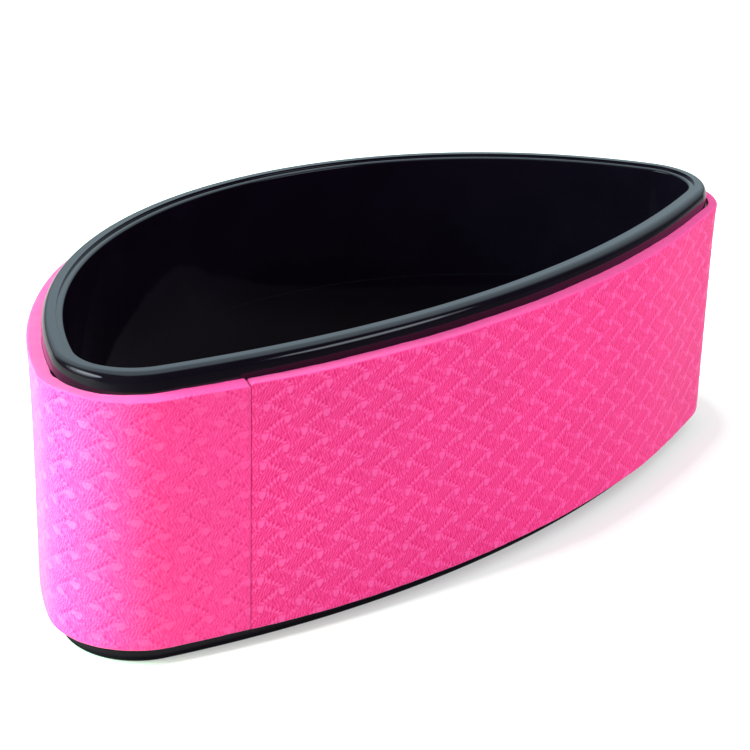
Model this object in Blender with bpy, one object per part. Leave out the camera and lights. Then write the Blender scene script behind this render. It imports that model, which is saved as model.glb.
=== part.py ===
"""Half yoga wheel: a hollow leaf-shaped ring in two moulded halves, with a glued foam cover.

The ring lies on its side, as it stands on a shelf: its axis is vertical, the flatter arc faces -Y
and the rounder arc faces +Y. The origin is under the middle of the whole part, on the surface it
rests on. Sizes are in metres.
"""
import math

import bmesh
import bpy

# The leaf outline of the ring's outer face, seen along its axis
WHEEL_WIDTH = 0.130
END_CENTRE_X = 0.160
END_RADIUS = 0.0341
NEAR_BULGE = 0.0270
FAR_BULGE = 0.1010
CURVE_TOLERANCE = 0.00015

# The hollow section of the ring
RING_THICKNESS = 0.0094
OUTER_WALL = 0.0028
INNER_WALL = 0.0028
RIM_THICKNESS = 0.0040
RIM_ROUND_WIDTH = 0.0035
RIM_ROUND_HEIGHT = 0.0055
RIM_LAND_WIDTH = 0.0028
LIP_DROP = 0.0011
LIP_ROUND = 0.0014
RIM_ROUND_STEPS = 5
LIP_ROUND_STEPS = 3

# The joint between the two halves, at mid height
SEAM_GAP = 0.0003
TONGUE_THICKNESS = 0.0012
TONGUE_HEIGHT = 0.0035
FIT_CLEARANCE = 0.0003

# Ribs across the hollow, moulded in one with each half
RIB_THICKNESS = 0.0016
RIB_SPACING = 0.040
RIB_ROOT = 0.0010

# The foam cover and the adhesive tape under it
TAPE_THICKNESS = 0.0002
TAPE_MARGIN = 0.0015
FOAM_THICKNESS = 0.0060
FOAM_END_THICKNESS = 0.0044
FOAM_BLEND_LENGTH = 0.060
FOAM_MARGIN = 0.0093
FOAM_EDGE = 0.0005
FOAM_JOINT_FROM_END = 0.035
FOAM_JOINT_GAP = 0.0003

# Finishes: base colour, roughness
BLACK_PLASTIC = ((0.010, 0.010, 0.013), 0.12)
PINK_FOAM = ((0.90, 0.075, 0.26), 0.75)
TAPE_FILM = ((0.78, 0.75, 0.66), 0.50)


def clear_scene():
    """Remove whatever objects the open file holds."""
    for old in list(bpy.data.objects):
        bpy.data.objects.remove(old, do_unlink=True)


def finish(name, look):
    """A plain plastic or foam material."""
    colour, roughness = look
    material = bpy.data.materials.new(name)
    material.use_nodes = True
    shader = material.node_tree.nodes["Principled BSDF"]
    shader.inputs["Base Color"].default_value = (*colour, 1.0)
    shader.inputs["Roughness"].default_value = roughness
    shader.inputs["Metallic"].default_value = 0.0
    return material


def bulge_radius(bulge):
    """Radius of the arc through both end centres that bows out by the bulge."""
    return (END_CENTRE_X ** 2 + bulge ** 2) / (2 * bulge)


def leaf_arcs():
    """The outline's arcs, counter-clockwise from the foam's butt joint on the near arc.

    Each arc is (centre_x, centre_y, radius, start_angle, end_angle). They are split where the
    outline reaches furthest along X and Y, so that facets keep the leaf's full size.
    """
    near_centre = bulge_radius(NEAR_BULGE) - NEAR_BULGE
    far_centre = FAR_BULGE - bulge_radius(FAR_BULGE)
    near_radius = bulge_radius(NEAR_BULGE) + END_RADIUS
    far_radius = bulge_radius(FAR_BULGE) + END_RADIUS
    shift = (NEAR_BULGE - FAR_BULGE) / 2
    near_end = math.atan2(-near_centre, END_CENTRE_X)
    far_end = math.atan2(-far_centre, END_CENTRE_X)
    quarter = math.pi / 2
    joint = -math.pi - near_end + FOAM_JOINT_FROM_END / near_radius
    return [
        (0, near_centre + shift, near_radius, joint, -quarter),
        (0, near_centre + shift, near_radius, -quarter, near_end),
        (END_CENTRE_X, shift, END_RADIUS, near_end, 0),
        (END_CENTRE_X, shift, END_RADIUS, 0, far_end),
        (0, far_centre + shift, far_radius, far_end, quarter),
        (0, far_centre + shift, far_radius, quarter, math.pi - far_end),
        (-END_CENTRE_X, shift, END_RADIUS, math.pi - far_end, math.pi),
        (-END_CENTRE_X, shift, END_RADIUS, -math.pi, -math.pi - near_end),
        (0, near_centre + shift, near_radius, -math.pi - near_end, joint),
    ]


def station(arc, share):
    """Point and outward direction at a share of an arc."""
    centre_x, centre_y, radius, start, end = arc
    angle = start + (end - start) * share
    out_x, out_y = math.cos(angle), math.sin(angle)
    return centre_x + radius * out_x, centre_y + radius * out_y, out_x, out_y


def arc_length(arc):
    return arc[2] * abs(arc[4] - arc[3])


def stations():
    """Stations round the whole leaf, close enough together to keep to the curve tolerance."""
    found = []
    for arc in leaf_arcs():
        facet = 2 * math.acos(1 - min(CURVE_TOLERANCE / arc[2], 0.5))
        steps = max(1, math.ceil(abs(arc[4] - arc[3]) / facet))
        found += [station(arc, step / steps) for step in range(steps)]
    return found


def station_at(distance):
    """The station at a distance along the outline from the foam's joint."""
    for arc in leaf_arcs():
        if distance <= arc_length(arc):
            return station(arc, distance / arc_length(arc))
        distance -= arc_length(arc)
    return station(leaf_arcs()[0], 0)


def add_object(name, bm, material):
    """Put a finished bmesh into the scene, with smooth shading between its sharp edges."""
    bmesh.ops.recalc_face_normals(bm, faces=bm.faces)
    mesh = bpy.data.meshes.new(name)
    bm.to_mesh(mesh)
    bm.free()
    mesh.shade_smooth()
    mesh.set_sharp_from_angle(angle=math.radians(30))
    mesh.materials.append(material)
    thing = bpy.data.objects.new(name, mesh)
    bpy.context.collection.objects.link(thing)
    return thing


def sweep(path, section_at, closed):
    """Carry a section round the path. A section is a list of (distance out, height) corners.

    A closed path gives a ring. An open one gives a strip with flat ends.
    """
    bm = bmesh.new()
    rings = []
    for x, y, out_x, out_y in path:
        corners = section_at(x)
        rings.append([bm.verts.new((x + out_x * out, y + out_y * out, z)) for out, z in corners])
    for index in range(len(rings) if closed else len(rings) - 1):
        first, second = rings[index], rings[(index + 1) % len(rings)]
        for corner in range(len(first)):
            after = (corner + 1) % len(first)
            bm.faces.new((first[corner], second[corner], second[after], first[after]))
    if not closed:
        bm.faces.new(rings[0])
        bm.faces.new(reversed(rings[-1]))
    return bm


def half_section(with_tongue):
    """Section of one half, with height counted outwards from the mid plane of the wheel."""
    rim = WHEEL_WIDTH / 2
    seam = SEAM_GAP / 2
    step = -(RIM_ROUND_WIDTH + RIM_LAND_WIDTH)
    inside = -RING_THICKNESS
    corners = [(0, seam)]
    for index in range(RIM_ROUND_STEPS + 1):
        angle = math.pi / 2 * index / RIM_ROUND_STEPS
        corners.append((-RIM_ROUND_WIDTH * (1 - math.cos(angle)),
                        rim - RIM_ROUND_HEIGHT * (1 - math.sin(angle))))
    corners += [(step, rim), (step, rim - LIP_DROP)]
    for index in range(LIP_ROUND_STEPS + 1):
        angle = math.pi / 2 * index / LIP_ROUND_STEPS
        corners.append((inside + LIP_ROUND * (1 - math.sin(angle)),
                        rim - LIP_DROP - LIP_ROUND * (1 - math.cos(angle))))
    corners.append((inside, seam))
    roof = rim - RIM_THICKNESS
    if with_tongue:
        tip = -TONGUE_HEIGHT
        corners += [(inside + INNER_WALL - TONGUE_THICKNESS, seam),
                    (inside + INNER_WALL - TONGUE_THICKNESS, tip),
                    (inside + INNER_WALL, tip), (inside + INNER_WALL, roof),
                    (-OUTER_WALL, roof), (-OUTER_WALL, tip),
                    (-OUTER_WALL + TONGUE_THICKNESS, tip),
                    (-OUTER_WALL + TONGUE_THICKNESS, seam)]
    else:
        floor = TONGUE_HEIGHT + FIT_CLEARANCE
        rebate = TONGUE_THICKNESS + FIT_CLEARANCE
        corners += [(inside + INNER_WALL - rebate, seam), (inside + INNER_WALL - rebate, floor),
                    (inside + INNER_WALL, floor), (inside + INNER_WALL, roof),
                    (-OUTER_WALL, roof), (-OUTER_WALL, floor),
                    (-OUTER_WALL + rebate, floor), (-OUTER_WALL + rebate, seam)]
    return corners


def build_ribs(name, foot):
    """Cutter of ribs across the hollow, from the foot height to the rim, counted from mid plane."""
    bm = bmesh.new()
    top = WHEEL_WIDTH / 2 - RIM_THICKNESS + RIB_ROOT
    outer = -OUTER_WALL + RIB_ROOT
    inner = -RING_THICKNESS + INNER_WALL - RIB_ROOT
    around = sum(arc_length(arc) for arc in leaf_arcs())
    count = max(4, round(around / RIB_SPACING))
    for index in range(count):
        x, y, out_x, out_y = station_at((index + 0.5) * around / count)
        block = bmesh.ops.create_cube(bm, size=1.0)["verts"]
        for vert in block:
            out = inner + (outer - inner) * (vert.co.x + 0.5)
            side = RIB_THICKNESS * vert.co.y
            height = foot + (top - foot) * (vert.co.z + 0.5)
            vert.co = (x + out_x * out - out_y * side, y + out_y * out + out_x * side, height)
    ribs = add_object(name, bm, None)
    ribs.display_type = "WIRE"
    ribs.hide_render = True
    return ribs


def stand(thing, upside_down):
    """Lift a half from its mid-plane frame to its place, turned over if it is the lower one."""
    turn = -1 if upside_down else 1
    bm = bmesh.new()
    bm.from_mesh(thing.data)
    for vert in bm.verts:
        vert.co.z = WHEEL_WIDTH / 2 + turn * vert.co.z
    bmesh.ops.recalc_face_normals(bm, faces=bm.faces)
    bm.to_mesh(thing.data)
    bm.free()


def build_half(name, upper, material):
    """One moulded half: a channel with a rim, open at mid height, ribbed inside."""
    section = half_section(with_tongue=upper)
    half = add_object(name, sweep(stations(), lambda x: section, True), material)
    foot = SEAM_GAP / 2 + FIT_CLEARANCE if upper else TONGUE_HEIGHT + 2 * FIT_CLEARANCE
    ribs = build_ribs(name + "_ribs", foot)
    for thing in (half, ribs):
        stand(thing, upside_down=not upper)
    join = half.modifiers.new("ribs", "BOOLEAN")
    join.operation = "UNION"
    join.solver = "EXACT"
    join.object = ribs
    return half


def foam_thickness_at(x):
    """The foam is drawn thinner where it is stretched round the two tight ends."""
    share = min(max((abs(x) - END_CENTRE_X) / FOAM_BLEND_LENGTH + 1, 0), 1)
    ease = share * share * (3 - 2 * share)
    return FOAM_THICKNESS + (FOAM_END_THICKNESS - FOAM_THICKNESS) * ease


def strip_path(gap):
    """Stations of an open strip whose two ends meet at the joint on the near arc."""
    path = stations()
    first = leaf_arcs()[0]
    around = sum(arc_length(arc) for arc in leaf_arcs())
    start = station(first, gap / 2 / arc_length(first))
    return [start] + path[1:] + [station_at(around - gap / 2)]


def build_tape(material):
    """Double-sided tape between the ring and the foam, a little inside the foam's edges."""
    low = FOAM_MARGIN + TAPE_MARGIN
    high = WHEEL_WIDTH - low
    inner = FIT_CLEARANCE
    outer = inner + TAPE_THICKNESS
    section = [(inner, low), (outer, low), (outer, high), (inner, high)]
    path = strip_path(FOAM_JOINT_GAP + 2 * TAPE_MARGIN)
    return add_object("adhesive_tape", sweep(path, lambda x: section, False), material)


def build_foam(material):
    """Foam strip wrapped once round the ring, its cut ends meeting in a butt joint."""
    inner = 2 * FIT_CLEARANCE + TAPE_THICKNESS
    low = FOAM_MARGIN
    high = WHEEL_WIDTH - FOAM_MARGIN

    def section(x):
        outer = inner + foam_thickness_at(x)
        return [(inner, low), (outer - FOAM_EDGE, low), (outer, low + FOAM_EDGE),
                (outer, high - FOAM_EDGE), (outer - FOAM_EDGE, high), (inner, high)]

    return add_object("foam_cover", sweep(strip_path(FOAM_JOINT_GAP), section, False), material)


def main():
    clear_scene()
    plastic = finish("black_gloss_plastic", BLACK_PLASTIC)
    build_half("shell_upper_half", True, plastic)
    build_half("shell_lower_half", False, plastic)
    build_tape(finish("adhesive_film", TAPE_FILM))
    build_foam(finish("pink_foam", PINK_FOAM))


main()
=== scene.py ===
"""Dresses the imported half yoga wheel: moulded gloss shells, an embossed foam cover and a studio.

The ring lies on its side. Its axis is vertical, the flatter arc faces -Y and the rounder arc +Y.
Sizes are in metres. It is laid out as an add-on and is run as a script.
"""
import math

import bpy
import numpy as np
from mathutils import Matrix, Vector


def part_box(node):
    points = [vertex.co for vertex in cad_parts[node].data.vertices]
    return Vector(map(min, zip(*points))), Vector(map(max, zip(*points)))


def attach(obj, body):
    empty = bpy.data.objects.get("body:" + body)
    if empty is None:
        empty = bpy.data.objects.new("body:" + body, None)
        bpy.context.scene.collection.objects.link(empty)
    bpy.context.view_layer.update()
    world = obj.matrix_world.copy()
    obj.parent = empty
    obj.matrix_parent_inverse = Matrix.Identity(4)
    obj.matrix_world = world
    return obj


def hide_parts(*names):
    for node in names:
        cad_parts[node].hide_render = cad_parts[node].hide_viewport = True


bl_info = {
    "name": "Half Yoga Wheel",
    "version": (1, 0, 0),
    "blender": (4, 5, 0),
    "location": "3D View > Sidebar > Yoga Wheel",
    "description": "Builds the visible pieces of a half yoga wheel around its packed frame",
    "category": "Add Mesh",
}

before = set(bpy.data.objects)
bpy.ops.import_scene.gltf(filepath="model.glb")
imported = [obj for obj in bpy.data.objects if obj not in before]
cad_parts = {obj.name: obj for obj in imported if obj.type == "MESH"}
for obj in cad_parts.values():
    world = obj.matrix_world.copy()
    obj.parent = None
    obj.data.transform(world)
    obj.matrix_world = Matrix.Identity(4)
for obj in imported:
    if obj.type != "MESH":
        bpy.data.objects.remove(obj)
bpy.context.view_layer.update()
MM = 0.001

SHELL_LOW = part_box("shell_lower_half")[0]
SHELL_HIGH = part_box("shell_upper_half")[1]
FOAM_LOW, FOAM_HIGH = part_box("foam_cover")
WHEEL_WIDTH = SHELL_HIGH.z - SHELL_LOW.z


# Settings


class LeafSettings(bpy.types.PropertyGroup):
    """Plan outline of the ring's outer wall"""

    end_centre: bpy.props.FloatProperty(
        name="End centre", default=0.160, unit="LENGTH",
        description="How far each end round's centre lies from the middle",
    )
    near_bulge: bpy.props.FloatProperty(
        name="Near bulge", default=0.0270, unit="LENGTH",
        description="How far the flatter arc bows out past the line of the end centres",
    )
    far_bulge: bpy.props.FloatProperty(
        name="Far bulge", default=0.1010, unit="LENGTH",
        description="How far the rounder arc bows out past the line of the end centres",
    )
    joint_from_end: bpy.props.FloatProperty(
        name="Joint from end", default=0.035, unit="LENGTH",
        description="Distance of the foam's butt joint from the left end of the near arc",
    )


class ShellSettings(bpy.types.PropertyGroup):
    """The two moulded halves of the ring"""

    thickness: bpy.props.FloatProperty(
        name="Ring thickness", default=0.0094, unit="LENGTH",
        description="From the outer wall's face to the inner wall's face",
    )
    wall: bpy.props.FloatProperty(
        name="Wall", default=0.0028, unit="LENGTH",
        description="Thickness of both walls",
    )
    rim: bpy.props.FloatProperty(
        name="Rim", default=0.0040, unit="LENGTH",
        description="Thickness of the closed rim",
    )
    round_width: bpy.props.FloatProperty(
        name="Round width", default=0.0035, unit="LENGTH",
        description="Width of the oval round on the rim's outer corner",
    )
    round_height: bpy.props.FloatProperty(
        name="Round height", default=0.0055, unit="LENGTH",
        description="Height of the oval round on the rim's outer corner",
    )
    land_width: bpy.props.FloatProperty(
        name="Land width", default=0.0028, unit="LENGTH",
        description="Width of the flat land between the round and the step",
    )
    lip_drop: bpy.props.FloatProperty(
        name="Lip drop", default=0.0011, unit="LENGTH",
        description="Height of the step down from the land to the inner lip",
    )
    lip_round: bpy.props.FloatProperty(
        name="Lip round", default=0.0014, unit="LENGTH",
        description="Radius of the inner lip's corner",
    )
    seam_gap: bpy.props.FloatProperty(
        name="Seam gap", default=0.0002, unit="LENGTH",
        description="Gap between the halves at mid height",
    )
    edge_round: bpy.props.FloatProperty(
        name="Edge round", default=0.00014, unit="LENGTH",
        description="Radius of the small moulded edges at the step and the seam",
    )
    tongue_thickness: bpy.props.FloatProperty(
        name="Tongue thickness", default=0.0012, unit="LENGTH",
        description="Thickness of the tongue that enters the other half",
    )
    tongue_height: bpy.props.FloatProperty(
        name="Tongue height", default=0.0035, unit="LENGTH",
        description="How deep the tongue enters the other half",
    )
    clearance: bpy.props.FloatProperty(
        name="Clearance", default=0.0003, unit="LENGTH",
        description="Room round the tongue, and between ring, tape and foam",
    )
    colour: bpy.props.FloatVectorProperty(
        name="Shell colour", default=(0.0032, 0.0016, 0.0048), subtype="COLOR", min=0.0, max=1.0,
        description="Base colour of the black plastic",
    )
    roughness: bpy.props.FloatProperty(
        name="Shell roughness", default=0.06, subtype="FACTOR", min=0.0, max=1.0,
        description="Mean roughness of the polished plastic",
    )


class FoamSettings(bpy.types.PropertyGroup):
    """The embossed foam cover"""

    thickness: bpy.props.FloatProperty(
        name="Thickness", default=0.0060, unit="LENGTH",
        description="Thickness of the foam along the two long arcs",
    )
    end_thickness: bpy.props.FloatProperty(
        name="End thickness", default=0.0044, unit="LENGTH",
        description="Thickness where the foam is stretched round the tight ends",
    )
    blend_length: bpy.props.FloatProperty(
        name="Blend length", default=0.060, unit="LENGTH",
        description="Length over which the foam thins towards each end",
    )
    tape_thickness: bpy.props.FloatProperty(
        name="Tape thickness", default=0.0002, unit="LENGTH",
        description="Thickness of the tape under the foam",
    )
    joint_gap: bpy.props.FloatProperty(
        name="Joint gap", default=0.0003, unit="LENGTH",
        description="Gap at the butt joint",
    )
    edge_round: bpy.props.FloatProperty(
        name="Edge round", default=0.0006, unit="LENGTH",
        description="Radius of the worn corner between the embossed and the cut faces",
    )
    emboss_depth: bpy.props.FloatProperty(
        name="Emboss depth", default=0.00025, unit="LENGTH",
        description="Depth from the raised pads to the bottom of the pits",
    )
    tip_flare: bpy.props.FloatProperty(
        name="Tip flare", default=0.0013, unit="LENGTH",
        description="How far the foam's upper edge stands off the ring, most at the left end",
    )
    skew_cut: bpy.props.FloatProperty(
        name="Skew cut", default=0.0014, unit="LENGTH",
        description="Fall of the upper cut face from its inner to its outer edge, left of the joint",
    )
    edge_wave: bpy.props.FloatProperty(
        name="Edge wave", default=0.00015, unit="LENGTH",
        description="How far the hand-cut edges stray from straight",
    )
    joint_dip: bpy.props.FloatProperty(
        name="Joint dip", default=0.0005, unit="LENGTH",
        description="How far the foam's corners are pressed down at the butt joint",
    )
    grid_step: bpy.props.FloatProperty(
        name="Grid step", default=0.00038, unit="LENGTH",
        description="Spacing of the mesh on the embossed face",
    )
    # Painted shade: the pits' colour is darker than the ground's, where the hollows lie in shade.
    pit_shade_colour: bpy.props.FloatVectorProperty(
        name="Pit colour", default=(0.80, 0.001, 0.150), subtype="COLOR", min=0.0, max=1.0,
        description="Colour at the bottom of the emboss",
    )
    ground_colour: bpy.props.FloatVectorProperty(
        name="Ground colour", default=(0.93, 0.0175, 0.238), subtype="COLOR", min=0.0, max=1.0,
        description="Colour of the ground between the pads",
    )
    # Painted sheen: the pads are smoother, and their colour is paler than the ground's, where their
    # tops catch the sheen.
    pad_sheen_colour: bpy.props.FloatVectorProperty(
        name="Pad colour", default=(0.98, 0.074, 0.362), subtype="COLOR", min=0.0, max=1.0,
        description="Colour of the raised, polished pads and dashes",
    )
    cut_colour: bpy.props.FloatVectorProperty(
        name="Cut colour", default=(0.93, 0.074, 0.365), subtype="COLOR", min=0.0, max=1.0,
        description="Colour of the cut edges, where the foam's open cells show",
    )


class StageSettings(bpy.types.PropertyGroup):
    """Camera, floor and lights"""

    camera_aim: bpy.props.FloatVectorProperty(
        name="Camera aim", default=(0.00525, -0.00912, 0.05874), subtype="XYZ", unit="LENGTH",
        description="Point on the camera's axis beside the wheel's middle",
    )
    camera_distance: bpy.props.FloatProperty(
        name="Camera distance", default=0.99424, unit="LENGTH",
        description="Distance from the aim point",
    )
    camera_azimuth: bpy.props.FloatProperty(
        name="Camera azimuth", default=math.radians(-45.0639), subtype="ANGLE",
        description="Turn round the wheel, from the near arc's front",
    )
    camera_elevation: bpy.props.FloatProperty(
        name="Camera elevation", default=math.radians(23.3851), subtype="ANGLE",
        description="Height of the camera above the horizon",
    )
    camera_roll: bpy.props.FloatProperty(
        name="Camera roll", default=math.radians(1.6103), subtype="ANGLE",
        description="Tilt of the camera round its own axis",
    )
    lens: bpy.props.FloatProperty(
        name="Lens", default=100.58,
        description="Focal length on a 36 mm sensor, in millimetres",
    )
    ambient: bpy.props.FloatProperty(
        name="Ambient", default=0.60,
        description="Plain light from all round",
    )
    front_light: bpy.props.FloatProperty(
        name="Front light", default=2.34,
        description="Brightness of the wide soft lamp above the near side",
    )
    left_light: bpy.props.FloatProperty(
        name="Left light", default=9.5,
        description="Brightness of the soft lamps beside the left end",
    )
    line_light: bpy.props.FloatProperty(
        name="Line light", default=4.6,
        description="Brightness of the small lamps that draw the line along the rim",
    )
    floor_colour: bpy.props.FloatVectorProperty(
        name="Floor colour", default=(0.55, 0.61, 0.62), subtype="COLOR", min=0.0, max=1.0,
        description="Colour of the plain floor",
    )


# Shapes


def smooth_step(low, high, value):
    """Rises from 0 at low to 1 at high along 3t^2 - 2t^3."""
    share = np.clip((value - low) / (high - low), 0.0, 1.0)
    return share * share * (3.0 - 2.0 * share)


def direction(azimuth, elevation):
    """Unit vector towards an azimuth and elevation in degrees, azimuth 0 being -Y and 90 +X."""
    a, e = math.radians(azimuth), math.radians(elevation)
    return Vector((math.sin(a) * math.cos(e), -math.cos(a) * math.cos(e), math.sin(e)))


def leaf_arcs(leaf):
    """The outline's arcs as rows of centre x, centre y, radius, start angle and end angle.

    They run counter-clockwise from the foam's butt joint. The two long arcs pass outside both end
    centres, so radius = (half span^2 + bulge^2) / (2 bulge) + end radius, and the ends round off
    between them about the end centres.
    """
    half = leaf.end_centre
    end_radius = SHELL_HIGH.x - half
    near_span = (half ** 2 + leaf.near_bulge ** 2) / (2 * leaf.near_bulge)
    far_span = (half ** 2 + leaf.far_bulge ** 2) / (2 * leaf.far_bulge)
    near_centre = near_span - leaf.near_bulge
    far_centre = leaf.far_bulge - far_span
    near_radius = near_span + end_radius
    far_radius = far_span + end_radius
    shift = (leaf.near_bulge - leaf.far_bulge) / 2
    near_end = math.atan2(-near_centre, half)
    far_end = math.atan2(-far_centre, half)
    joint = -math.pi - near_end + leaf.joint_from_end / near_radius
    quarter = math.pi / 2
    return np.array([
        (0, near_centre + shift, near_radius, joint, -quarter),
        (0, near_centre + shift, near_radius, -quarter, near_end),
        (half, shift, end_radius, near_end, far_end),
        (0, far_centre + shift, far_radius, far_end, math.pi - far_end),
        (-half, shift, end_radius, math.pi - far_end, math.pi - near_end),
        (0, near_centre + shift, near_radius, math.pi - near_end, joint + 2 * math.pi),
    ])


def arc_lengths(arcs):
    """Length of each arc: radius times the angle it turns through."""
    return arcs[:, 2] * (arcs[:, 4] - arcs[:, 3])


def walk(arcs, distance):
    """Points and outward directions at distances along the outline from the foam's joint.

    On the arc that a distance falls on, angle = start + (distance - length before it) / radius,
    the direction is (cos angle, sin angle), and the point is centre + radius * direction.
    """
    lengths = arc_lengths(arcs)
    reached = np.concatenate(([0.0], np.cumsum(lengths)))
    which = np.clip(np.searchsorted(reached, distance, side="right") - 1, 0, len(arcs) - 1)
    angle = arcs[which, 3] + (distance - reached[which]) / arcs[which, 2]
    out = np.stack((np.cos(angle), np.sin(angle)), axis=-1)
    return arcs[which, :2] + arcs[which, 2:3] * out, out


def ring_distances(arcs, longest, widest):
    """Distances round the closed outline, no further apart than the longest step or widest turn."""
    reached = 0.0
    found = []
    for arc, length in zip(arcs, arc_lengths(arcs)):
        steps = math.ceil(max(length / longest, (arc[4] - arc[3]) / widest))
        found.append(reached + length * np.arange(steps) / steps)
        reached += length
    return np.concatenate(found)


def sweep(points, out, offset, height):
    """Carries a section along the outline: vertex = point + outward direction * offset, at a height.

    Offset and height are grids of station by section corner, or one row for all stations.
    """
    shape = (len(points), offset.shape[-1])
    offset = np.broadcast_to(offset, shape)
    places = np.empty(shape + (3,))
    places[..., 0] = points[:, None, 0] + out[:, None, 0] * offset
    places[..., 1] = points[:, None, 1] + out[:, None, 1] * offset
    places[..., 2] = np.broadcast_to(height, shape)
    return places


def grid_mesh(name, places, closed):
    """A mesh from a grid of stations by section corners, whose sections are closed loops.

    Each face joins corner k and k+1 of station i and i+1. An open grid gets a face on each end.
    """
    stations, corners = places.shape[:2]
    mesh = bpy.data.meshes.new(name)
    first = np.arange(stations if closed else stations - 1)[:, None] * corners
    after = (first + corners) % (stations * corners)
    here = np.arange(corners)[None, :]
    there = (here + 1) % corners
    quads = np.stack((first + here, after + here, after + there, first + there), axis=-1)
    loops = quads.reshape(-1)
    totals = np.full(quads.size // 4, 4)
    if not closed:
        last = (stations - 1) * corners
        loops = np.concatenate((loops, np.arange(corners), last + np.arange(corners)[::-1]))
        totals = np.concatenate((totals, [corners, corners]))
    starts = np.concatenate(([0], np.cumsum(totals)[:-1]))
    mesh.vertices.add(stations * corners)
    mesh.vertices.foreach_set("co", places.astype(np.float32).reshape(-1))
    mesh.loops.add(len(loops))
    mesh.loops.foreach_set("vertex_index", loops.astype(np.int32))
    mesh.polygons.add(len(totals))
    mesh.polygons.foreach_set("loop_start", starts.astype(np.int32))
    mesh.update(calc_edges=True)
    mesh.validate()
    return mesh


def add_piece(name, mesh, material, sharp_angle):
    """Put a finished mesh into the scene on the root body, smooth between its sharp edges."""
    mesh.shade_smooth()
    mesh.set_sharp_from_angle(angle=sharp_angle)
    mesh.materials.append(material)
    piece = bpy.data.objects.new(name, mesh)
    bpy.context.scene.collection.objects.link(piece)
    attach(piece, "root")
    return piece


def rounded(corners, steps):
    """A section with rounded corners. A corner is (offset, height, radius).

    Each corner becomes an arc that touches both its sides, as far from the corner as the radius,
    blended as (1 - t)^2 a + 2 t (1 - t) corner + t^2 b.
    """
    found = []
    count = len(corners)
    share = np.linspace(0.0, 1.0, steps)[:, None]
    for index, (offset, height, radius) in enumerate(corners):
        corner = np.array((offset, height))
        if radius == 0:
            found.append(corner[None, :])
            continue
        before = np.array(corners[index - 1][:2]) - corner
        after = np.array(corners[(index + 1) % count][:2]) - corner
        start = corner + before / np.linalg.norm(before) * radius
        end = corner + after / np.linalg.norm(after) * radius
        found.append(
            (1 - share) ** 2 * start + 2 * share * (1 - share) * corner + share ** 2 * end
        )
    return np.concatenate(found)


def supported(section, long, inset):
    """The closed section with an extra corner near both ends of each long side, which keeps the
    shading of a flat side flat."""
    after = np.roll(section, -1, axis=0)
    side = after - section
    length = np.linalg.norm(side, axis=1)
    found = []
    for corner, along, size in zip(section, side, length):
        found.append(corner)
        if size > long:
            found.append(corner + along * inset / size)
            found.append(corner + along * (1 - inset / size))
    return np.array(found)


# Materials


class Nodes:
    """The nodes of one material or of the world, starting from none.

    A node's input is given as another node's output, a number, a direction or a colour.
    """

    def __init__(self, owner):
        owner.use_nodes = True
        self.tree = owner.node_tree
        self.tree.nodes.clear()

    def add(self, kind, inputs=None, **settings):
        """A new node with its settings, and its inputs by name or number."""
        node = self.tree.nodes.new(kind)
        for name, value in settings.items():
            setattr(node, name, value)
        for name, value in (inputs or {}).items():
            self.fill(node.inputs[name], value)
        return node

    def fill(self, socket, value):
        """Link an output to an input, or write the value into it."""
        if isinstance(value, bpy.types.NodeSocket):
            self.tree.links.new(value, socket)
        elif socket.type == "RGBA":
            socket.default_value = (*value, 1.0)
        else:
            socket.default_value = value

    def noise(self, place, scale, detail, rough=0.5):
        """A noise pattern over the coordinates."""
        node = self.add("ShaderNodeTexNoise", {
            "Vector": place, "Scale": scale, "Detail": detail, "Roughness": rough,
        })
        return node.outputs["Fac"]

    def ramp(self, value, stops):
        """A colour ramp over the value, from (position, colour) stops."""
        node = self.add("ShaderNodeValToRGB", {"Fac": value})
        elements = node.color_ramp.elements
        while len(elements) < len(stops):
            elements.new(0.5)
        for element, (position, colour) in zip(elements, stops):
            element.position = position
            element.color = (*colour, 1.0)
        return node.outputs["Color"]

    def remap(self, value, old, new, clamp=True):
        """A straight line that takes the old range to the new one."""
        node = self.add("ShaderNodeMapRange", {
            "Value": value, "From Min": old[0], "From Max": old[1],
            "To Min": new[0], "To Max": new[1],
        }, clamp=clamp)
        return node.outputs["Result"]

    def compute(self, operation, first, second=0.0):
        """A sum, a product or another operation."""
        return self.add("ShaderNodeMath", {0: first, 1: second}, operation=operation).outputs[0]

    def dot(self, place, towards):
        """How far a place lies along a direction."""
        node = self.add("ShaderNodeVectorMath", {0: place, 1: towards}, operation="DOT_PRODUCT")
        return node.outputs["Value"]

    def mix(self, share, first, second, blend="MIX"):
        """A mix of two colours."""
        node = self.add("ShaderNodeMix", data_type="RGBA", blend_type=blend)
        values = {"Factor": share, "A": first, "B": second}
        for socket in node.inputs:
            if socket.enabled and socket.name in values:
                self.fill(socket, values[socket.name])
        return next(output for output in node.outputs if output.enabled)

    def seen(self, ray):
        """1 for rays from the camera, straight or through something clear."""
        return self.compute("MAXIMUM", ray["Is Camera Ray"], ray["Is Transmission Ray"])

    def show(self, shader, output="ShaderNodeOutputMaterial"):
        """Join a shader to the output."""
        self.add(output, {"Surface": shader.outputs[0]})

    def surface(self, inputs, height, strength, distance):
        """End a piece's material: a Principled shader with these inputs, bumped by a height."""
        bump = self.add("ShaderNodeBump", {
            "Height": height, "Strength": strength, "Distance": distance,
        })
        inputs["Normal"] = bump.outputs["Normal"]
        self.show(self.add("ShaderNodeBsdfPrincipled", inputs))


def new_material(name):
    """A material, its nodes and its object coordinates."""
    material = bpy.data.materials.new(name)
    nodes = Nodes(material)
    return material, nodes, nodes.add("ShaderNodeTexCoord").outputs["Object"]


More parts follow.
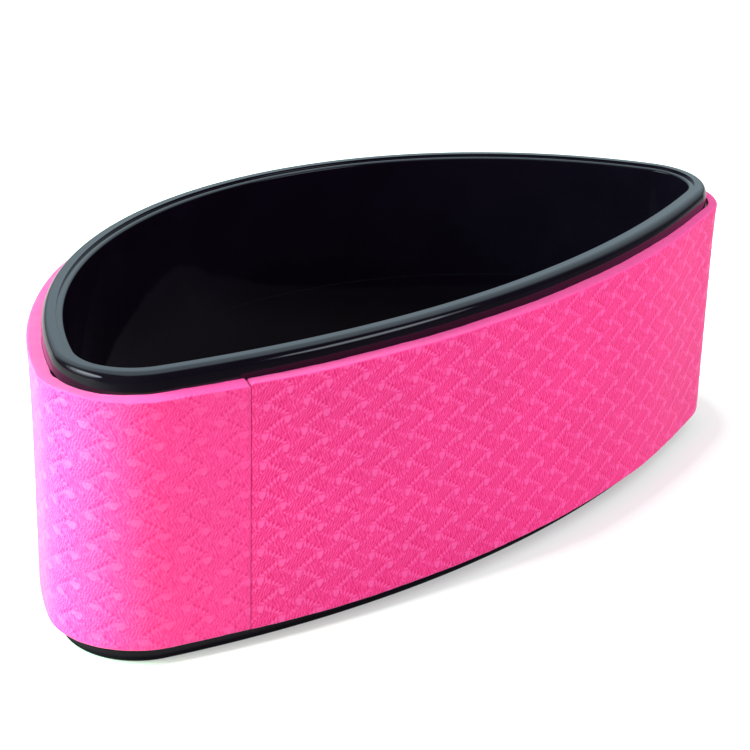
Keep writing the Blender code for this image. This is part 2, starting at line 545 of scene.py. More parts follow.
def gloss_plastic(shell):
    """Polished black plastic: a little uneven from the mould, with faint polishing haze."""
    material, nodes, place = new_material("gloss_black_plastic")
    haze = nodes.noise(place, scale=38.0, detail=3.0)
    hazy = tuple(channel * 1.35 for channel in shell.colour)
    share = nodes.remap(haze, (0.35, 0.70), (0.0, 1.0))
    mean = shell.roughness
    waves = nodes.noise(place, scale=55.0, detail=1.0)
    specks = nodes.noise(place, scale=1400.0, detail=1.0)
    nodes.surface(
        {
            "Base Color": nodes.mix(share, tuple(shell.colour), hazy),
            "Roughness": nodes.remap(haze, (0.30, 0.75), (mean * 0.7, mean * 1.5)),
            "IOR": 1.35,
        },
        nodes.compute("ADD", waves, nodes.compute("MULTIPLY", specks, 0.012)),
        strength=0.06, distance=0.0012,
    )
    return material


def pink_foam(foam):
    """Closed-cell foam: smoother on the pads, open cells where it is cut. Its pink holds painted
    light:
    deeper in the pits and ripple troughs as painted shade, paler on the pads as painted sheen. The
    mesh carries the emboss height and where the cut faces are."""
    material, nodes, place = new_material("embossed_pink_foam")
    relief = nodes.add("ShaderNodeAttribute", attribute_name="relief").outputs["Fac"]
    cut = nodes.add("ShaderNodeAttribute", attribute_name="cut").outputs["Fac"]
    mottle = nodes.noise(place, scale=420.0, detail=3.0, rough=0.6)
    mottle = nodes.remap(mottle, (0.3, 0.7), (-0.10, 0.10), clamp=False)
    lifted = nodes.compute("ADD", relief, mottle)
    # Painted shade and sheen: the colour runs from dark in the pits and ripple troughs to pale on
    # the pads.
    embossed = nodes.ramp(lifted, (
        (0.08, tuple(foam.pit_shade_colour)),
        (0.42, tuple(foam.ground_colour)),
        (0.86, tuple(foam.pad_sheen_colour)),
    ))
    cells = nodes.add(
        "ShaderNodeTexVoronoi", {"Vector": place, "Scale": 1500.0}, feature="DISTANCE_TO_EDGE"
    )
    walls = nodes.remap(cells.outputs["Distance"], (0.0, 0.28), (1.12, 0.86))
    grain = nodes.mix(1.0, tuple(foam.cut_colour), walls, "MULTIPLY")
    cloud = nodes.noise(place, scale=24.0, detail=2.0)
    tone = nodes.remap(cloud, (0.3, 0.7), (0.965, 1.035))
    worn = nodes.remap(lifted, (0.2, 0.9), (0.78, 0.56))
    rough = nodes.add("ShaderNodeMix", {0: cut, 2: worn, 3: 0.85}, data_type="FLOAT")
    nodes.surface(
        {
            "Base Color": nodes.mix(1.0, nodes.mix(cut, embossed, grain), tone, "MULTIPLY"),
            "Roughness": rough.outputs[0],
            "Specular IOR Level": 0.45,
            "Sheen Weight": 0.45,
            "Sheen Roughness": 0.3,
        },
        nodes.noise(place, scale=2600.0, detail=2.0), strength=0.35, distance=0.00012,
    )
    return material


def tape_film():
    """Double-sided tape: cloudy film over a fibrous carrier."""
    material, nodes, place = new_material("adhesive_film")
    fibre = nodes.noise(place, scale=900.0, detail=4.0, rough=0.7)
    colour = nodes.ramp(fibre, ((0.35, (0.62, 0.58, 0.48)), (0.65, (0.82, 0.80, 0.72))))
    rough = nodes.remap(fibre, (0.3, 0.7), (0.40, 0.60))
    nodes.surface(
        {"Base Color": colour, "Roughness": rough}, fibre, strength=0.4, distance=0.00005
    )
    return material


# The emboss


# Sizes of the pattern in mm. The second pad's place is in shares of a cell.
CELL_WIDTH = 17.6
CELL_HEIGHT = 13.05
SECOND_PAD = (0.549, 0.505)
RIPPLE_PITCH = 1.30
PAD_HALF, PAD_TOP, PAD_FOOT = 1.85, 1.85, 2.0
WORN_SPREAD = 0.75
PAD_SLOPE = (-0.65, 0.45)
DASH_SLOPE = (-0.30, 0.30)

# Where the cells lie at the strip's start and end: value, slope and curve per mm, for i then j.
# The first hold up to START_REACH. The second hold over the last END_REACH, and are counted from
# END_ORIGIN before the strip's end. The last two rows give what a mm of height adds at the start,
# how much that changes towards the end, and its curve.
AT_START = ((7.5605, 0.055167, -6e-6), (-1.9124, 0.005007, 8e-6))
AT_END = ((51.7109, 0.056322, -25e-6), (2.9504, 0.002429, -21e-6))
START_REACH, END_REACH, END_ORIGIN = 125.0, 225.0, 139.0
I_PER_HEIGHT = (-0.00156, 0.00332, -26e-6)
J_PER_HEIGHT = (0.07667, -0.00234, 20e-6)


def wrapped(value):
    """The signed distance to the nearest whole number."""
    return value - np.round(value)


def from_point(i, j, spot):
    """Distances right of and below the nearest copy of a spot, in mm.

    A spot is (cells right, cells up, mm right, mm down) from a pad of the first kind.
    """
    right = wrapped(i - spot[0] - spot[2] / CELL_WIDTH) * CELL_WIDTH
    down = -wrapped(j - spot[1] + spot[3] / CELL_HEIGHT) * CELL_HEIGHT
    return right, down


def shield(i, j, spot, worn):
    """A raised pad with a flat top edge, sides that draw in and a rounded foot.

    Its half width shrinks as (1 - t^2.8)^0.6 with the share t of the way down. Worn, it is wider.
    """
    right, down = from_point(i, j, spot)
    share = np.clip((down + PAD_TOP) / (PAD_TOP + PAD_FOOT), 0.0, 1.0)
    half = (PAD_HALF + WORN_SPREAD * worn) * (1.0 - share ** 2.8) ** 0.6
    inside = np.maximum(np.abs(right) - half, np.maximum(-(down + PAD_TOP), down - PAD_FOOT))
    return 1.0 - smooth_step(*PAD_SLOPE, inside)


def dash(i, j, spot, length, thickness, turn):
    """A raised dash: a rounded bar of that length and thickness in mm, turned by an angle.

    It is 1 where (|u|^2.6 + |v|^2.6)^(1/2.6) is well below 1, with u and v the turned distances
    from its middle over its half length and half thickness.
    """
    right, down = from_point(i, j, spot)
    along = (right * math.cos(turn) + down * math.sin(turn)) / (length / 2)
    across = (down * math.cos(turn) - right * math.sin(turn)) / (thickness / 2)
    reach = (np.abs(across) ** 2.6 + np.abs(along) ** 2.6) ** (1 / 2.6)
    inside = (reach - 1.0) * thickness / 2
    return 1.0 - smooth_step(*DASH_SLOPE, inside)


def between(first, second, share):
    """The point or size at a share of the way from the first to the second."""
    return tuple(a + (b - a) * share for a, b in zip(first, second))


def chain(i, j, start, end, sizes, turns, count):
    """Dashes in a row from one pad to its neighbour, like the rungs of a bent ladder. Place and
    turn change evenly along the row, and the rungs are a little shorter and thicker half way."""
    height = np.zeros_like(i)
    for index in range(count):
        share = index / (count - 1)
        length, thickness = between(sizes[0], sizes[1], share)
        bow = math.sin(math.pi * share)
        turn = math.radians(turns[0] + (turns[1] - turns[0]) * share)
        spot = between(start, end, share)
        rung = dash(i, j, spot, length - 0.4 * bow, thickness + 0.1 * bow, turn)
        height = np.maximum(height, rung)
    return height


def pits(i, j, start, end, radius, count):
    """Small deep pits in a row: 1 in the middle of each, 0 from the radius out."""
    depth = np.zeros_like(i)
    for index in range(count):
        right, down = from_point(i, j, between(start, end, index / (count - 1)))
        depth = np.maximum(depth, 1.0 - smooth_step(0.2, radius, np.hypot(right, down)))
    return depth


def ripples(i, j):
    """Fine slanted ripples between the pads: 0.5 + 0.5 cos(2 pi (right - lean - wobble) / pitch).

    They lean one way in the diamonds right of the first pads and the other way in the diamonds
    right of the second, each counted from its own pad. Slow sines keep them from looking ruled.
    """
    right, down = from_point(i, j, (0.5, 0.0, 0.0, 0.0))
    right = right + CELL_WIDTH / 2
    turn = SECOND_PAD[0] * CELL_WIDTH
    # The bent lines above and below the first kind's diamonds, in mm down from their pads.
    upper = np.where(right < turn, -2.15 - 0.57 * right, -3.25 + 0.57 * (right - turn))
    lower = np.where(right < turn, -1.7 + 0.62 * right, 7.95 - 0.67 * (right - turn))
    first = (down > upper) & (down < lower)
    first |= (down + CELL_HEIGHT < lower) | (down - CELL_HEIGHT > upper)
    other_right, other_down = from_point(i, j, (SECOND_PAD[0] + 0.5, SECOND_PAD[1], 0.0, 0.0))
    across = np.where(first, right, other_right + CELL_WIDTH / 2)
    along = np.where(first, down, -other_down)
    wobble = 0.15 * np.sin(2 * math.pi * (3 * along / CELL_HEIGHT + 0.05 * across))
    drift = 0.20 * np.sin(23.7 * i + 9.1 * j) + 0.16 * np.sin(7.3 * i - 31.9 * j)
    drift += 0.13 * np.sin(61.0 * i + 37.0 * j)
    phase = across - 0.42 * along - wobble - drift
    swell = 0.80 + 0.20 * np.sin(17.3 * i - 11.1 * j) * np.sin(5.9 * i + 19.3 * j)
    return 0.5 + 0.5 * swell * np.cos(2 * math.pi * phase / RIPPLE_PITCH)


def emboss(i, j, worn):
    """Height of the emboss from 0, a pit, to 1, a pad, over the pattern's lattice.

    Two pads to a cell, with rows of dashes curving from each pad to its neighbours, on a rippled
    ground. Where the foam is worn or stretched flat, the pads stand lower and the ripples show.
    """
    a, b = (0.0, 0.0), SECOND_PAD
    # Lengths and thicknesses of the dashes in mm: of the main rows, and of the smaller ones.
    flat, tall = (2.4, 0.86), (2.9, 0.92)
    small_flat, small_tall = (1.8, 0.82), (2.4, 0.82)
    rising = chain(i, j, (*a, 0.8, -2.50), (*b, -2.80, 0.1), (flat, tall), (6, 98), 5)
    falling = chain(
        i, j, (*a, 2.65, 0.0), (b[0], b[1] - 1, -0.7, -2.75), (tall, flat), (80, 180), 5
    )
    under = chain(
        i, j, (*b, 0.7, 3.2), (1.0, 0.0, -2.7, -0.4), (small_flat, small_tall), (160, 95), 4
    )
    over = chain(
        i, j, (*b, 2.7, -0.5), (1.0, 1.0, -0.9, 3.0), (small_tall, small_flat), (98, 25), 4
    )
    pad = np.maximum(shield(i, j, (*a, 0.0, 0.0), worn), shield(i, j, (*b, 0.0, 0.0), worn))
    deep = np.maximum(
        pits(i, j, (*a, 0.8, -3.8), (*b, -3.6, -1.2), 0.95, 4),
        pits(i, j, (*a, 3.5, -0.9), (b[0], b[1] - 1, -0.7, -3.7), 0.85, 4),
    )
    # Dips beside the foot of each pad, where the pads' shade fell: a real dip, and through the
    # relief a darker colour there, a painted shadow.
    moat_and_shade = np.maximum(
        0.5 * pits(i, j, (*b, 1.9, 0.8), (*b, 0.7, 2.3), 0.9, 3),
        0.4 * pits(i, j, (*a, -1.8, 0.5), (*a, -1.4, 1.3), 0.7, 2),
    )
    keep = 1.0 - worn
    rippled = ripples(i, j)
    ground = 0.02 + 0.24 * worn + (0.78 - 0.31 * worn) * rippled
    height = ground * (1.0 - (0.6 + 0.2 * keep) * np.maximum(deep, moat_and_shade))
    height = np.maximum(height, (0.70 + 0.30 * keep) * np.maximum(rising, falling))
    height = np.maximum(height, (0.58 + 0.27 * keep) * np.maximum(under, over))
    smooth = (0.58 + 0.18 * keep) + 0.22 * rippled
    return np.maximum(height, smooth * pad)


def bent(terms, distance):
    """A slightly curved line: value + slope * distance + curve * distance^2."""
    value, slope, curve = terms
    return value + slope * distance + curve * distance * distance


def lattice(along, height, length):
    """Where the pattern's cells lie on the strip: cells right i and cells up j.

    Along is measured in mm from the middle of the near arc, height from mid width, and length is
    the whole strip. The foam is cut a little askew and stretched, so at the strip's start i and j
    are slightly curved functions. The strip's end has its own, and a cubic joins the two.
    """
    first, last = START_REACH, length - END_REACH
    end_origin = length - END_ORIGIN
    span = last - first
    t = np.clip((along - first) / span, 0.0, 1.0)
    found = []
    for start, end in zip(AT_START, AT_END):
        p, q = bent(start, first), bent(end, last - end_origin)
        p_slope = (bent(start, first + 1) - p) * span
        q_slope = (q - bent(end, last - 1 - end_origin)) * span
        middle = (
            (2 * t ** 3 - 3 * t ** 2 + 1) * p + (t ** 3 - 2 * t ** 2 + t) * p_slope
            + (3 * t ** 2 - 2 * t ** 3) * q + (t ** 3 - t ** 2) * q_slope
        )
        found.append(np.where(
            along < first, bent(start, along),
            np.where(along > last, bent(end, along - end_origin), middle),
        ))
    ease = smooth_step(first, last, along)
    lean, change, curve = I_PER_HEIGHT
    i = found[0] + height * (lean + change * ease) + curve * height ** 2 * (1 - ease)
    lean, change, curve = J_PER_HEIGHT
    j = found[1] + height * (lean + change * ease) + curve * height ** 2
    return i, j


# Pieces


LONG_SIDE = 1.2 * MM
SIDE_INSET = 0.25 * MM
CORNER_STEPS = 4
OVAL_STEPS = 19
LIP_STEPS = 9


def half_section(shell, with_tongue):
    """Section of one half, heights counted outwards from mid plane: a channel with a closed rim.

    The rim's outer corner is a quarter oval: offset = -width (1 - cos a), height = top - tall
    (1 - sin a). The half without the tongue has a step that leaves room for it.
    """
    rim = WHEEL_WIDTH / 2
    seam = shell.seam_gap / 2
    step = -(shell.round_width + shell.land_width)
    inside = -shell.thickness
    edge = shell.edge_round
    lip = rim - shell.lip_drop
    turn = np.linspace(0.0, math.pi / 2, OVAL_STEPS)
    oval = np.stack((
        -shell.round_width * (1 - np.cos(turn)),
        rim - shell.round_height * (1 - np.sin(turn)),
        np.zeros(OVAL_STEPS),
    ), axis=1)
    bend = np.linspace(0.0, math.pi / 2, LIP_STEPS)
    inner_round = np.stack((
        inside + shell.lip_round * (1 - np.sin(bend)),
        lip - shell.lip_round * (1 - np.cos(bend)),
        np.zeros(LIP_STEPS),
    ), axis=1)
    side, foot = shell.tongue_thickness, -shell.tongue_height
    if not with_tongue:
        side, foot = side + shell.clearance, shell.clearance - foot
    roof = rim - shell.rim
    hollow_in, hollow_out = inside + shell.wall, -shell.wall
    corners = [
        (0.0, seam, edge), *oval.tolist(),
        (step, rim, edge), (step, lip, edge / 2),
        *inner_round.tolist(), (inside, seam, edge / 4),
        (hollow_in - side, seam, 0.0), (hollow_in - side, foot, 0.0),
        (hollow_in, foot, 0.0), (hollow_in, roof, 0.0),
        (hollow_out, roof, 0.0), (hollow_out, foot, 0.0),
        (hollow_out + side, foot, 0.0), (hollow_out + side, seam, 0.0),
    ]
    return supported(rounded(corners, CORNER_STEPS), LONG_SIDE, SIDE_INSET)


class YOGA_OT_shell_halves(bpy.types.Operator):
    """Build the two moulded halves of the ring"""

    bl_idname = "yoga.shell_halves"
    bl_label = "Shell halves"

    def execute(self, context):
        shell = context.scene.yoga_shell
        arcs = leaf_arcs(context.scene.yoga_leaf)
        distances = ring_distances(arcs, longest=2.0 * MM, widest=math.radians(1.0))
        points, out = walk(arcs, distances)
        material = gloss_plastic(shell)
        middle = SHELL_LOW.z + WHEEL_WIDTH / 2
        for name, node, upper in (
            ("shell_upper_moulding", "shell_upper_half", True),
            ("shell_lower_moulding", "shell_lower_half", False),
        ):
            section = half_section(shell, with_tongue=upper)
            if not upper:
                section = section[::-1] * (1, -1)
            places = sweep(points, out, section[None, :, 0], middle + section[None, :, 1])
            mesh = grid_mesh(name, places, closed=True)
            piece = add_piece(name, mesh, material, sharp_angle=math.radians(32))
            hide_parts(node)
        return {"FINISHED"}


class YOGA_OT_adhesive_tape(bpy.types.Operator):
    """Give the tape under the foam its finish"""

    bl_idname = "yoga.adhesive_tape"
    bl_label = "Adhesive tape"

    def execute(self, context):
        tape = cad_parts["adhesive_tape"]
        tape.data.materials.clear()
        tape.data.materials.append(tape_film())
        return {"FINISHED"}


CUT_STEPS = 9
ROUND_STEPS = 3
BACK_STEPS = 6
TUCK_HEIGHT = 1.3 * MM
TUCK_ROOM = 0.1 * MM

# Distances before the joint where the foam's wear and its skew cut start and are full, the share
# of the way out where the skew cut turns, and the place and size of the ragged piece of the cut.
WORN_FROM, WORN_FULL = 0.200, 0.090
SKEW_FROM, SKEW_FULL = 0.075, 0.040
SKEW_PIVOT = 0.43
RAGGED_MIDDLE, RAGGED_REACH = 0.026, 0.007
RAGGED_DEPTH, RAGGED_PITCH = 0.0004, 0.0023

# Where the foam stands off the ring: azimuth, degrees from it to where it lies close again, share
# of the flare, and the power of the height that keeps it near the upper edge.
LEAN = (-118, 42, 1.0, 5)
LIFTS = ((-109, 8, 0.4, 12), (50, 34, 1.1, 12))


def foam_section(foam, low, high):
    """Corners of the strip's closed section, counter-clockwise from its inner bottom corner.

    Each has the share of the way out to where the edge round starts, the extra distance out, its
    height, and whether it lies on a cut face.
    """
    radius = foam.edge_round
    rows = round((high - low - 2 * radius) / foam.grid_step)
    across = np.linspace(0.0, 1.0, CUT_STEPS)
    turn = np.linspace(0.0, math.pi / 2, ROUND_STEPS + 2)[1:-1]
    face = np.linspace(low + radius, high - radius, rows + 1)
    back = np.linspace(high - TUCK_HEIGHT, low + TUCK_HEIGHT, BACK_STEPS)
    share = np.concatenate((
        across, np.ones(len(face) + 2 * ROUND_STEPS), across[::-1], np.zeros(BACK_STEPS)
    ))
    extra = np.concatenate((
        np.zeros(CUT_STEPS), radius * np.sin(turn), np.full(len(face), radius),
        radius * np.cos(turn), np.zeros(CUT_STEPS + BACK_STEPS),
    ))
    height = np.concatenate((
        np.full(CUT_STEPS, low), low + radius * (1 - np.cos(turn)), face,
        high - radius * (1 - np.sin(turn)), np.full(CUT_STEPS, high), back,
    ))
    fade = (1.0, 0.7, 0.3)
    cut = np.concatenate((
        np.ones(CUT_STEPS), fade, np.zeros(len(face)), fade[::-1],
        np.ones(CUT_STEPS + BACK_STEPS),
    ))
    return share, extra, height, cut


def strip_map(mesh, stations, corners, wide):
    """The piece's own map: the strip in equal lengths, laid side by side in a square.

    Across a length the map follows the station number, and up it the corner number, so that the
    embossed face takes most of the room. The two end faces lie in a narrow band along the top.
    """
    per_tile = math.ceil((stations - 1) / (wide * wide))
    room = 0.97 / wide
    margin = 0.004
    column = np.arange(stations - 1)
    tile = column // per_tile
    left = (tile % wide) * room + margin
    bottom = (tile // wide) * room + margin
    step = (room - 2 * margin) / per_tile
    rise = (room - 2 * margin) / corners
    u = left + (column - tile * per_tile) * step
    v = bottom[:, None] + np.arange(corners)[None, :] * rise
    u = np.broadcast_to(u[:, None], v.shape)
    quads = np.stack((
        np.stack((u, v), -1), np.stack((u + step, v), -1),
        np.stack((u + step, v + rise), -1), np.stack((u, v + rise), -1),
    ), axis=2)
    turn = np.linspace(0.0, 2 * math.pi, corners, endpoint=False)
    radius, across, up = 0.012, 0.02, 0.984
    ring = np.stack((across + radius * np.cos(turn), up + radius * np.sin(turn)), -1)
    far_ring = (ring + (2 * across, 0.0))[::-1]
    flat = np.concatenate((quads.reshape(-1, 2), ring, far_ring))
    layer = mesh.uv_layers.new(name="OFBake")
    layer.data.foreach_set("uv", flat.astype(np.float32).reshape(-1))


def add_values(mesh, name, values):
    """A number for each vertex, which the material reads."""
    layer = mesh.attributes.new(name, "FLOAT", "POINT")
    layer.data.foreach_set("value", np.ascontiguousarray(values, np.float32).reshape(-1))


def stand_off(flare, out, level, azimuth, reach, share, power):
    """How far the foam stands off the ring: a share of the flare where the outward direction is
    at the azimuth, fading out at reach degrees from it, times a power of the height."""
    towards = np.array(direction(azimuth, 0.0))[:2]
    near = smooth_step(math.cos(math.radians(reach)), 1.0, out @ towards)
    return share * flare * near[:, None] * level ** power


def at_joint(along, length, reach):
    """1 at the butt joint, fading as exp(-(d / reach)^2) with the distance d from it."""
    return np.exp(-((np.minimum(along, length - along) / reach) ** 2))[:, None]


def cut_edges(foam, along, length, share, height):
    """How far each corner of the strip is moved up, because the foam was cut and glued by hand.

    Both edges wave a little: a sum of sines along the strip, fading out within a few mm. The upper
    cut falls outwards on the last stretch before the joint, and is ragged on a short piece of it.
    At the joint the upper corners of both ends are pressed down.
    """
    level = (height - height.min()) / (height.max() - height.min())
    top, bottom = level ** 40, (1.0 - level) ** 40
    turn = 2 * math.pi * along[:, None]
    wave = 0.5 * np.sin(turn / 0.061 + 1.3) + 0.3 * np.sin(turn / 0.0227)
    wave += 0.2 * np.sin(turn / 0.0093 + 0.7)
    lift = foam.edge_wave * (wave * top + wave[::-1] * bottom)
    skew = smooth_step(length - SKEW_FROM, length - SKEW_FULL, along)[:, None]
    lift += foam.skew_cut * skew * (SKEW_PIVOT - share) * top
    ragged = np.exp(-((length - along - RAGGED_MIDDLE) / RAGGED_REACH) ** 2)[:, None]
    teeth = np.sin(turn / RAGGED_PITCH) ** 3
    lift += RAGGED_DEPTH * ragged * (share > 0.9) * level ** 120 * teeth
    lift -= 2.0 * foam.joint_dip * top * at_joint(along, length, 0.6 * MM)
    return lift


class YOGA_OT_foam_cover(bpy.types.Operator):
    """Build the embossed foam strip with its butt joint"""

    bl_idname = "yoga.foam_cover"
    bl_label = "Foam cover"

    def execute(self, context):
        foam = context.scene.yoga_foam
        leaf = context.scene.yoga_leaf
        arcs = leaf_arcs(leaf)
        length = arc_lengths(arcs).sum()
        count = round(length / foam.grid_step)
        along = np.linspace(foam.joint_gap / 2, length - foam.joint_gap / 2, count)
        points, out = walk(arcs, along)
        share, extra, height, cut = foam_section(foam, FOAM_LOW.z, FOAM_HIGH.z)
        inner = 2 * context.scene.yoga_shell.clearance + foam.tape_thickness
        ease = smooth_step(-foam.blend_length, 0.0, np.abs(points[:, 0]) - leaf.end_centre)
        thick = foam.thickness + (foam.end_thickness - foam.thickness) * ease

        from_middle = along - arc_lengths(arcs)[0]
        middle = (FOAM_LOW.z + FOAM_HIGH.z) / 2
        i, j = lattice(
            from_middle[:, None] / MM, (height[None, :] - SHELL_LOW.z - middle) / MM, length / MM
        )
        worn = smooth_step(length - WORN_FROM, length - WORN_FULL, along)[:, None]
        relief = emboss(i, j, worn)
        outer = (extra / foam.edge_round)[None, :]
        depth = (1.0 - relief) * foam.emboss_depth * outer
        depth += foam.joint_dip * outer * at_joint(along, length, 1.0 * MM)

        level = (height - FOAM_LOW.z) / (FOAM_HIGH.z - FOAM_LOW.z)
        flare = stand_off(foam.tip_flare, out, level, *LEAN)
        gap = sum(stand_off(foam.tip_flare, out, level, *lift) for lift in LIFTS)
        on_cut = (cut == 1.0) & (np.abs(level - 0.5) > 0.4999)
        tuck = (inner - TUCK_ROOM) * on_cut
        start = inner + gap - tuck[None, :]
        end = inner + thick[:, None] - foam.edge_round + flare + 0.5 * gap
        offset = start + share[None, :] * (end - start) + extra[None, :] - depth
        lift = cut_edges(foam, along, length, share[None, :], height[None, :])
        places = sweep(points, out, offset, height[None, :] + lift)
        mesh = grid_mesh("foam_cover_embossed", places, closed=False)
        # The relief also drives the foam's painted shade in the pits and painted sheen on the pads.
        add_values(mesh, "relief", relief * outer)
        add_values(mesh, "cut", np.broadcast_to(cut, relief.shape))
        strip_map(mesh, count, len(height), wide=3)
        piece = add_piece(
            "foam_cover_embossed", mesh, pink_foam(foam), sharp_angle=math.radians(60)
        )
        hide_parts("foam_cover")
        return {"FINISHED"}


# Stage


# Tints of the lamps. The cool ones show in the gloss. The yellow and green ones, low and high
# beside the left end, turn the pink foam there towards pale lilac.
COOL = (0.90, 1.0, 1.12)
WARM = (1.0, 1.0, 0.90)
YELLOW = (1.0, 1.31, 0.27)
GREEN = (0.9, 2.2, 1.24)

# Ranges of the floor's glow in metres: outside the outline, within it, across the normal where
# an end's round starts, and leftwards and backwards across the wheel.
GLOW_RISE = (0.002, 0.050)
INNER_RISE = (-0.025, -0.075)
END_BLEND = (-0.002, 0.002)
LEFTWARD = (0.06, -0.19)
BACKWARD = (-0.22, 0.05)
FLOOR_HALF = 8.0
SENSOR_WIDTH = 36.0


def area_lamp(name, place, aim, size, brightness, colour):
    """A soft oval lamp. Its power is brightness * pi * its area. Cool lamps show in the gloss."""
    data = bpy.data.lights.new(name, "AREA")
    data.shape = "ELLIPSE"
    data.size, data.size_y = size
    data.energy = brightness * math.pi * (math.pi / 4 * size[0] * size[1])
    data.color = colour
    lamp = bpy.data.objects.new(name, data)
    bpy.context.scene.collection.objects.link(lamp)
    lamp.location = place
    lamp.rotation_mode = "QUATERNION"
    lamp.rotation_quaternion = (Vector(aim) - Vector(place)).to_track_quat("-Z", "Y")
    lamp.visible_glossy = colour == COOL
    lamp.visible_camera = False
    return lamp


def build_world(stage):
    """White behind everything, plain light on the object, and the studio that the gloss mirrors.

    The mirrored studio is a bluish panel overhead that reaches down behind the wheel. It lies
    where the direction is above two slanting planes, and grows brighter upwards as a straight line
    in z. The side towards the camera is dark.
    """
    world = bpy.data.worlds.new("studio")
    bpy.context.scene.world = world
    nodes = Nodes(world)
    place = nodes.add("ShaderNodeTexCoord").outputs["Generated"]
    first_plane = nodes.dot(place, (0.284, 0.747, 0.601))
    second_plane = nodes.dot(place, (0.789, 0.124, 0.602))
    inside = nodes.compute("MINIMUM", first_plane, second_plane)
    panel = nodes.remap(inside, (-0.07, 0.16), (0.0, 1.0))
    bright = nodes.remap(nodes.dot(place, (0.0, 0.0, 1.0)), (0.0, 0.80), (0.16, 2.80))
    lit = nodes.compute("ADD", nodes.compute("MULTIPLY", panel, bright), 0.08)
    plain = nodes.add("ShaderNodeBackground", {"Strength": stage.ambient})
    mirrored = nodes.add("ShaderNodeBackground", {"Color": (0.78, 1.0, 1.12), "Strength": lit})
    white = nodes.add("ShaderNodeBackground", {"Color": (1.0, 1.0, 1.0)})
    ray = nodes.add("ShaderNodeLightPath").outputs
    surface = plain
    for share, second in ((ray["Is Glossy Ray"], mirrored), (nodes.seen(ray), white)):
        surface = nodes.add(
            "ShaderNodeMixShader", {0: share, 1: surface.outputs[0], 2: second.outputs[0]}
        )
    nodes.show(surface, "ShaderNodeOutputWorld")


def floor_material(stage, arcs):
    """Plain pale floor. Its colour for the camera rises to white a little way from the wheel: by
    the distance outside the outline, which is the larger of the distances outside its two long
    arcs, or between the normals where an end joins them the distance outside that end's round.
    It rises sooner beside the left end, which is lit strongly, and also towards the middle inside
    the ring. In the gloss it is dimmer, dimmest on the camera's side."""
    material, nodes, place = new_material("studio_floor")
    split = nodes.add("ShaderNodeSeparateXYZ", {0: place}).outputs
    sideways = nodes.compute("ABSOLUTE", split["X"])
    folded = nodes.add("ShaderNodeCombineXYZ", {"X": sideways, "Y": split["Y"]}).outputs[0]
    near, end, far = arcs[0], arcs[2], arcs[3]

    def outside_of(arc):
        centre = (arc[0], arc[1], 0.0)
        node = nodes.add("ShaderNodeVectorMath", {0: folded, 1: centre}, operation="DISTANCE")
        return nodes.compute("SUBTRACT", node.outputs["Value"], arc[2])

    def past_normal(arc):
        turned = Vector((end[1] - arc[1], arc[0] - end[0], 0.0)).normalized()
        turned = turned if turned.x > 0.0 else -turned
        at_centre = turned.x * end[0] + turned.y * end[1]
        return nodes.compute("SUBTRACT", nodes.dot(folded, turned), at_centre)

    outside = nodes.compute("MAXIMUM", outside_of(near), outside_of(far))
    beside_end = nodes.compute("MINIMUM", past_normal(near), past_normal(far))
    at_end = nodes.remap(beside_end, END_BLEND, (0.0, 1.0))
    past = nodes.compute("SUBTRACT", outside_of(end), outside)
    outside = nodes.compute("ADD", outside, nodes.compute("MULTIPLY", at_end, past))
    # Painted light on the floor: a glow of 0.32 for the camera lifts the object's shadow all round
    # the wheel, and rises to 0.9 towards the middle inside the ring, where the walls shade it.
    # Glossy rays see 0.12 of it, so the shaded inner floor glows faintly in the gloss.
    within = nodes.remap(outside, INNER_RISE, (0.32, 0.9))
    leftward = nodes.remap(split["X"], LEFTWARD, (0.0, 3.3))
    sooner = nodes.compute("ADD", nodes.compute("MULTIPLY", leftward, leftward), 1.0)
    glow = nodes.remap(nodes.compute("MULTIPLY", outside, sooner), GLOW_RISE, (0.0, 1.0))
    mirrored = nodes.remap(split["Y"], BACKWARD, (0.06, 1.0))
    ray = nodes.add("ShaderNodeLightPath").outputs
    dimmed = nodes.compute("MULTIPLY", ray["Is Glossy Ray"], mirrored)
    seen = nodes.compute("MAXIMUM", nodes.seen(ray), dimmed)
    faint = nodes.compute("MULTIPLY", ray["Is Glossy Ray"], 0.12)
    shown = nodes.compute("ADD", ray["Is Camera Ray"], faint)
    within = nodes.compute("MULTIPLY", within, shown)
    strength = nodes.compute("MAXIMUM", within, nodes.compute("MULTIPLY", glow, seen))
    light = nodes.add("ShaderNodeEmission", {"Strength": strength})
    pale = tuple(stage.floor_colour)
    fine = nodes.noise(place, scale=900.0, detail=2.0)
    colour = nodes.ramp(fine, ((0.3, tuple(channel * 0.99 for channel in pale)), (0.7, pale)))
    colour = nodes.mix(ray["Is Glossy Ray"], colour, (0.04, 0.045, 0.06))
    matt = nodes.add("ShaderNodeBsdfDiffuse", {"Color": colour})
    nodes.show(nodes.add("ShaderNodeAddShader", {0: matt.outputs[0], 1: light.outputs[0]}))
    return material


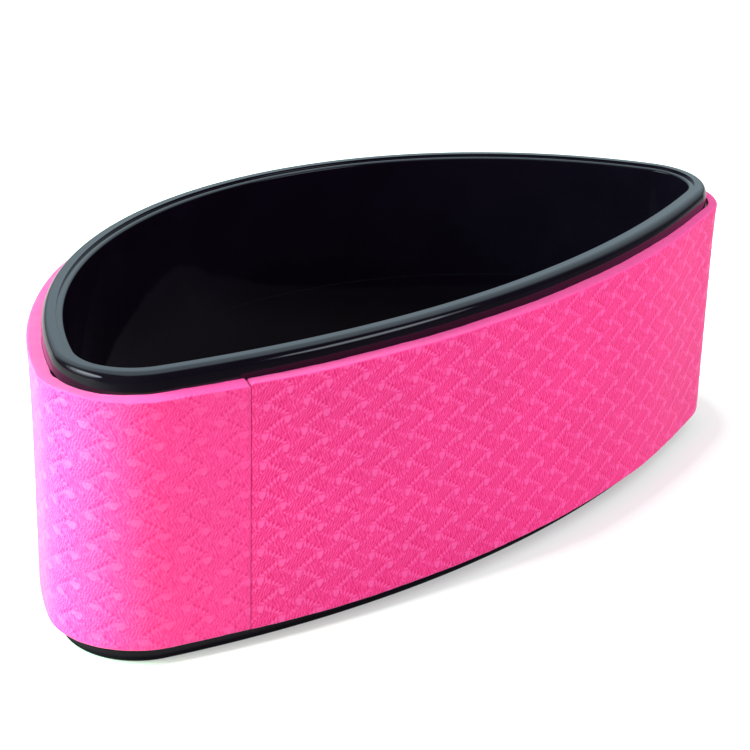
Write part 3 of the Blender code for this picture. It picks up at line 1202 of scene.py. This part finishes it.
class YOGA_OT_stage(bpy.types.Operator):
    """Build the floor, the lights and the camera"""

    bl_idname = "yoga.stage"
    bl_label = "Stage"

    def execute(self, context):
        scene = context.scene
        stage = scene.yoga_stage
        scene.view_settings.view_transform = "Standard"
        build_world(stage)

        mesh = bpy.data.meshes.new("floor")
        corners = ((-1, -1), (1, -1), (1, 1), (-1, 1))
        mesh.from_pydata(
            [(x * FLOOR_HALF, y * FLOOR_HALF, 0) for x, y in corners], [], [(0, 1, 2, 3)]
        )
        mesh.materials.append(floor_material(stage, leaf_arcs(scene.yoga_leaf).tolist()))
        floor = bpy.data.objects.new("floor", mesh)
        scene.collection.objects.link(floor)

        middle = Vector((0.0, 0.0, WHEEL_WIDTH / 2))
        left, line = stage.left_light, stage.line_light
        for name, azimuth, elevation, distance, size, brightness, colour in (
            ("front_soft", 42, 44, 1.6, (1.8, 1.8), stage.front_light, WARM),
            ("left_fill", -113, 2, 1.1, (1.10, 0.10), left * 7.5, YELLOW),
            ("left_high", -114, 25, 1.1, (0.60, 0.20), left * 5.2, GREEN),
            ("left_halo", -108, 19, 1.12, (1.05, 0.50), left * 0.16, COOL),
            ("left_soft", -104, 20, 1.11, (0.88, 0.32), left * 0.48, COOL),
            ("left_core", -99, 21, 1.10, (0.66, 0.15), left * 0.72, COOL),
            ("line_halo", 20, 15, 1.11, (0.60, 0.30), line * 0.42, COOL),
            ("line_core", 19, 15, 1.10, (0.48, 0.18), line * 0.92, COOL),
        ):
            lamp = area_lamp(
                name, middle + direction(azimuth, elevation) * distance, middle, size,
                brightness, colour,
            )

        azimuth, elevation = stage.camera_azimuth, stage.camera_elevation
        back = direction(math.degrees(azimuth), math.degrees(elevation))
        right = (-back).cross(Vector((0, 0, 1))).normalized()
        up = right.cross(-back)
        turn = Matrix.Rotation(-stage.camera_roll, 3, -back)
        axes = Matrix((turn @ right, turn @ up, back)).transposed()
        data = bpy.data.cameras.new("camera")
        data.lens = stage.lens
        data.sensor_width = SENSOR_WIDTH
        data.clip_start, data.clip_end = 0.05, 50.0
        camera = bpy.data.objects.new("camera", data)
        scene.collection.objects.link(camera)
        camera.matrix_world = Matrix.Translation(
            Vector(stage.camera_aim) + back * stage.camera_distance
        ) @ axes.to_4x4()
        scene.camera = camera
        return {"FINISHED"}


class YOGA_PT_sidebar(bpy.types.Panel):
    """Sizes, colours and build steps of the half yoga wheel"""

    bl_idname = "YOGA_PT_sidebar"
    bl_label = "Half Yoga Wheel"
    bl_space_type = "VIEW_3D"
    bl_region_type = "UI"
    bl_category = "Yoga Wheel"

    def draw(self, context):
        layout = self.layout
        for title, group, step in (
            ("Outline", "yoga_leaf", None),
            ("Shell", "yoga_shell", YOGA_OT_shell_halves),
            ("Foam", "yoga_foam", YOGA_OT_foam_cover),
            ("Stage", "yoga_stage", YOGA_OT_stage),
        ):
            settings = getattr(context.scene, group)
            box = layout.box()
            box.label(text=title)
            for name in settings.bl_rna.properties.keys():
                if name not in ("rna_type", "name"):
                    box.prop(settings, name)
            if step is not None:
                box.operator(step.bl_idname)
        layout.operator(YOGA_OT_adhesive_tape.bl_idname)


GROUPS = {
    "yoga_leaf": LeafSettings,
    "yoga_shell": ShellSettings,
    "yoga_foam": FoamSettings,
    "yoga_stage": StageSettings,
}
STEPS = (YOGA_OT_shell_halves, YOGA_OT_adhesive_tape, YOGA_OT_foam_cover, YOGA_OT_stage)


def register():
    for name, group in GROUPS.items():
        bpy.utils.register_class(group)
        setattr(bpy.types.Scene, name, bpy.props.PointerProperty(type=group))
    for step in (*STEPS, YOGA_PT_sidebar):
        bpy.utils.register_class(step)


def unregister():
    for step in reversed((*STEPS, YOGA_PT_sidebar)):
        bpy.utils.unregister_class(step)
    for name, group in GROUPS.items():
        delattr(bpy.types.Scene, name)
        bpy.utils.unregister_class(group)


def main():
    register()
    bpy.ops.yoga.shell_halves()
    bpy.ops.yoga.adhesive_tape()
    bpy.ops.yoga.foam_cover()
    bpy.ops.yoga.stage()


if __name__ == "__main__":
    main()
